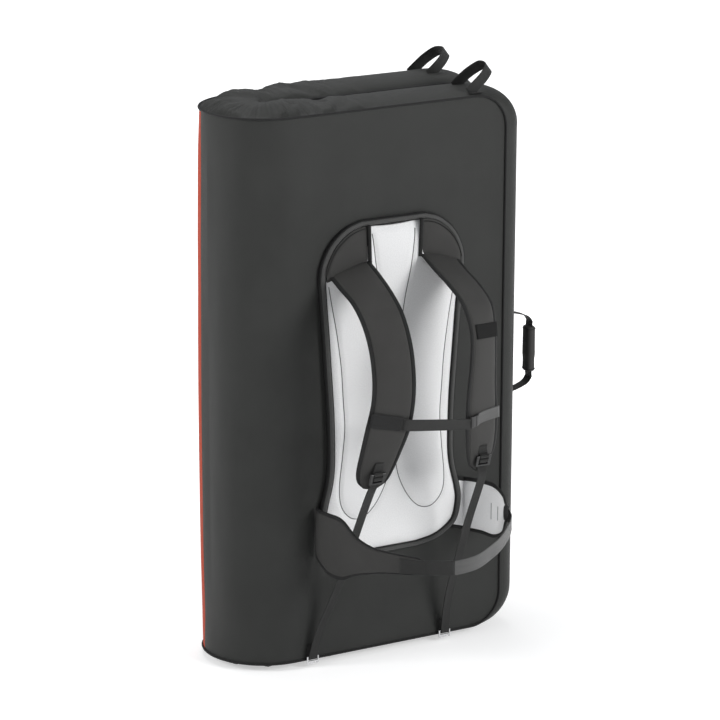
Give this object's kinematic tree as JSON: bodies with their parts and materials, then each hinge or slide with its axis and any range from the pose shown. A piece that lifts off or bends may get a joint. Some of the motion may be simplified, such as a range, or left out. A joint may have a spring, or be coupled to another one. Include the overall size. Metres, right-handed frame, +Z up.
{
  "type": "bouldering crash pad",
  "caption": "Folding foam bouldering crash pad standing folded, with padded back panel, shoulder straps, hip belt, carrying loops and side handles.",
  "frame": {"origin": "centre of the front half's flat underside, on the floor", "axes": "+Z up; -Y out of the harness side; +X from the fold towards the free edges"},
  "size_m": [0.7443, 0.5366, 1.2295],
  "materials": {
    "shell_fabric": "dark woven nylon shell",
    "orange_fabric": "orange-red woven nylon shell",
    "landing_fabric": "plain grey landing fabric",
    "webbing": "dark woven webbing",
    "panel_mesh": "light grey padded mesh",
    "binding_tape": "dark binding tape",
    "open_cell_foam": "soft open-cell foam",
    "closed_cell_foam": "firm closed-cell foam",
    "buckle_plastic": "moulded dark plastic",
    "hook_steel": "plated steel"
  },
  "bodies": {
    "front_half": {"front_face_panel": "shell_fabric", "front_wall_band": "shell_fabric", "front_landing_panel": "landing_fabric", "front_landing_foam": "closed_cell_foam", "front_core_foam": "open_cell_foam", "front_base_foam": "closed_cell_foam", "front_piping": "binding_tape", "back_panel": "panel_mesh", "panel_binding": "binding_tape", "left_yoke": "shell_fabric", "right_yoke": "shell_fabric", "left_anchor_tab": "webbing", "right_anchor_tab": "webbing", "hip_socket_webbing": "webbing"},
    "fold_stave_1": {"fold_cover_1": "shell_fabric", "fold_foam_1": "open_cell_foam"},
    "fold_stave_2": {"fold_cover_2": "shell_fabric", "fold_foam_2": "open_cell_foam"},
    "fold_stave_3": {"fold_cover_3": "orange_fabric", "fold_foam_3": "open_cell_foam"},
    "fold_stave_4": {"fold_cover_4": "orange_fabric", "fold_foam_4": "open_cell_foam"},
    "fold_stave_5": {"fold_cover_5": "orange_fabric", "fold_foam_5": "open_cell_foam"},
    "back_half": {"back_face_panel": "orange_fabric", "back_wall_band": "shell_fabric", "back_landing_panel": "landing_fabric", "back_landing_foam": "closed_cell_foam", "back_core_foam": "open_cell_foam", "back_base_foam": "closed_cell_foam", "back_piping": "binding_tape", "zip_tape": "webbing", "zip_chain": "buckle_plastic"},
    "left_strap": {"left_shoulder_strap": "shell_fabric", "left_ladder_lock": "buckle_plastic", "left_load_webbing": "webbing", "sternum_webbing": "webbing"},
    "right_strap": {"right_shoulder_strap": "shell_fabric", "right_ladder_lock": "buckle_plastic", "right_load_webbing": "webbing", "sternum_buckle": "buckle_plastic", "sternum_anchor": "webbing"},
    "left_hook": {"left_hook": "hook_steel"},
    "right_hook": {"right_hook": "hook_steel"},
    "left_wing": {"left_hip_wing": "shell_fabric", "hip_webbing": "webbing", "hip_buckle": "buckle_plastic"},
    "right_wing": {"right_hip_wing": "shell_fabric"},
    "hip_socket": {"hip_buckle_socket": "buckle_plastic"},
    "front_loop": {"front_top_loop": "webbing"},
    "back_loop": {"back_top_loop": "webbing"},
    "front_handle": {"front_side_handle": "webbing", "front_side_grip": "shell_fabric"},
    "back_handle": {"back_side_handle": "webbing", "back_side_grip": "shell_fabric"},
    "zip_slider": {"zip_slider": "hook_steel"},
    "zip_pull": {"zip_pull": "hook_steel"}
  },
  "joints": [
    {"name": "fold_1", "type": "hinge", "parent": "front_half", "child": "fold_stave_1", "pos_m": [-0.28261, -0.06431, 0.585], "axis": [0, 0, 1], "range_deg": [0, 30]},
    {"name": "fold_2", "type": "hinge", "parent": "fold_stave_1", "child": "fold_stave_2", "pos_m": [-0.3417, -0.0302, 0.585], "axis": [0, 0, 1], "range_deg": [0, 30]},
    {"name": "fold_3", "type": "hinge", "parent": "fold_stave_2", "child": "fold_stave_3", "pos_m": [-0.37581, 0.02889, 0.585], "axis": [0, 0, 1], "range_deg": [0, 30]},
    {"name": "fold_4", "type": "hinge", "parent": "fold_stave_3", "child": "fold_stave_4", "pos_m": [-0.37581, 0.09711, 0.585], "axis": [0, 0, 1], "range_deg": [0, 30]},
    {"name": "fold_5", "type": "hinge", "parent": "fold_stave_4", "child": "fold_stave_5", "pos_m": [-0.3417, 0.1562, 0.585], "axis": [0, 0, 1], "range_deg": [0, 30]},
    {"name": "fold_6", "type": "hinge", "parent": "fold_stave_5", "child": "back_half", "pos_m": [-0.28261, 0.19031, 0.585], "axis": [0, 0, 1], "range_deg": [0, 30]},
    {"name": "left_strap_swing", "type": "hinge", "parent": "front_half", "child": "left_strap", "pos_m": [-0.1845, -0.0756, 0.846], "axis": [-1, 0, 0], "range_deg": [0, 1.3]},
    {"name": "right_strap_swing", "type": "hinge", "parent": "front_half", "child": "right_strap", "pos_m": [0.1395, -0.0756, 0.846], "axis": [-1, 0, 0], "range_deg": [0, 1.3]},
    {"name": "left_hook_tilt", "type": "hinge", "parent": "left_strap", "child": "left_hook", "pos_m": [-0.2095, -0.0715, 0.0225], "axis": [-1, 0, 0], "range_deg": [0, 60]},
    {"name": "right_hook_tilt", "type": "hinge", "parent": "right_strap", "child": "right_hook", "pos_m": [0.1085, -0.0715, 0.0225], "axis": [-1, 0, 0], "range_deg": [0, 60]},
    {"name": "left_wing_swing", "type": "hinge", "parent": "front_half", "child": "left_wing", "pos_m": [-0.198, -0.0641, 0.265], "axis": [0, 0, -1], "range_deg": [0, 50]},
    {"name": "right_wing_swing", "type": "hinge", "parent": "front_half", "child": "right_wing", "pos_m": [0.1565, -0.0641, 0.265], "axis": [0, 0, -1], "range_deg": [0, 20]},
    {"name": "hip_socket_swing", "type": "hinge", "parent": "front_half", "child": "hip_socket", "pos_m": [0.24517, -0.07605, 0.277], "axis": [0, 0, 1], "range_deg": [0, 40]},
    {"name": "front_handle_swing", "type": "hinge", "parent": "front_half", "child": "front_handle", "pos_m": [0.3109, 0, 0.584], "axis": [0, 0, 1], "range_deg": [-70, 70]},
    {"name": "back_handle_swing", "type": "hinge", "parent": "back_half", "child": "back_handle", "pos_m": [0.3109, 0.126, 0.584], "axis": [0, 0, 1], "range_deg": [-70, 70]},
    {"name": "front_loop_flop", "type": "hinge", "parent": "front_half", "child": "front_loop", "pos_m": [0.1815, -0.004, 1.17275], "axis": [0, 0.9994, 0.0346], "range_deg": [-68, 40], "stiffness_Nm_per_rad": 0.05},
    {"name": "back_loop_flop", "type": "hinge", "parent": "back_half", "child": "back_loop", "pos_m": [0.1815, 0.141, 1.17515], "axis": [0, 0.9914, -0.1307], "range_deg": [-68, 40], "stiffness_Nm_per_rad": 0.05},
    {"name": "zip_slide", "type": "slide", "parent": "back_half", "child": "zip_slider", "axis": [0, 0, 1], "range_m": [0, 0.9]},
    {"name": "zip_pull_swing", "type": "hinge", "parent": "zip_slider", "child": "zip_pull", "pos_m": [0.29903, 0.09372, 0.129], "axis": [-0.4446, -0.8957, 0], "range_deg": [0, 160]}
  ],
  "couplings": [
    {"joint": "right_strap_swing", "follows": "left_strap_swing", "ratio": 1}
  ]
}
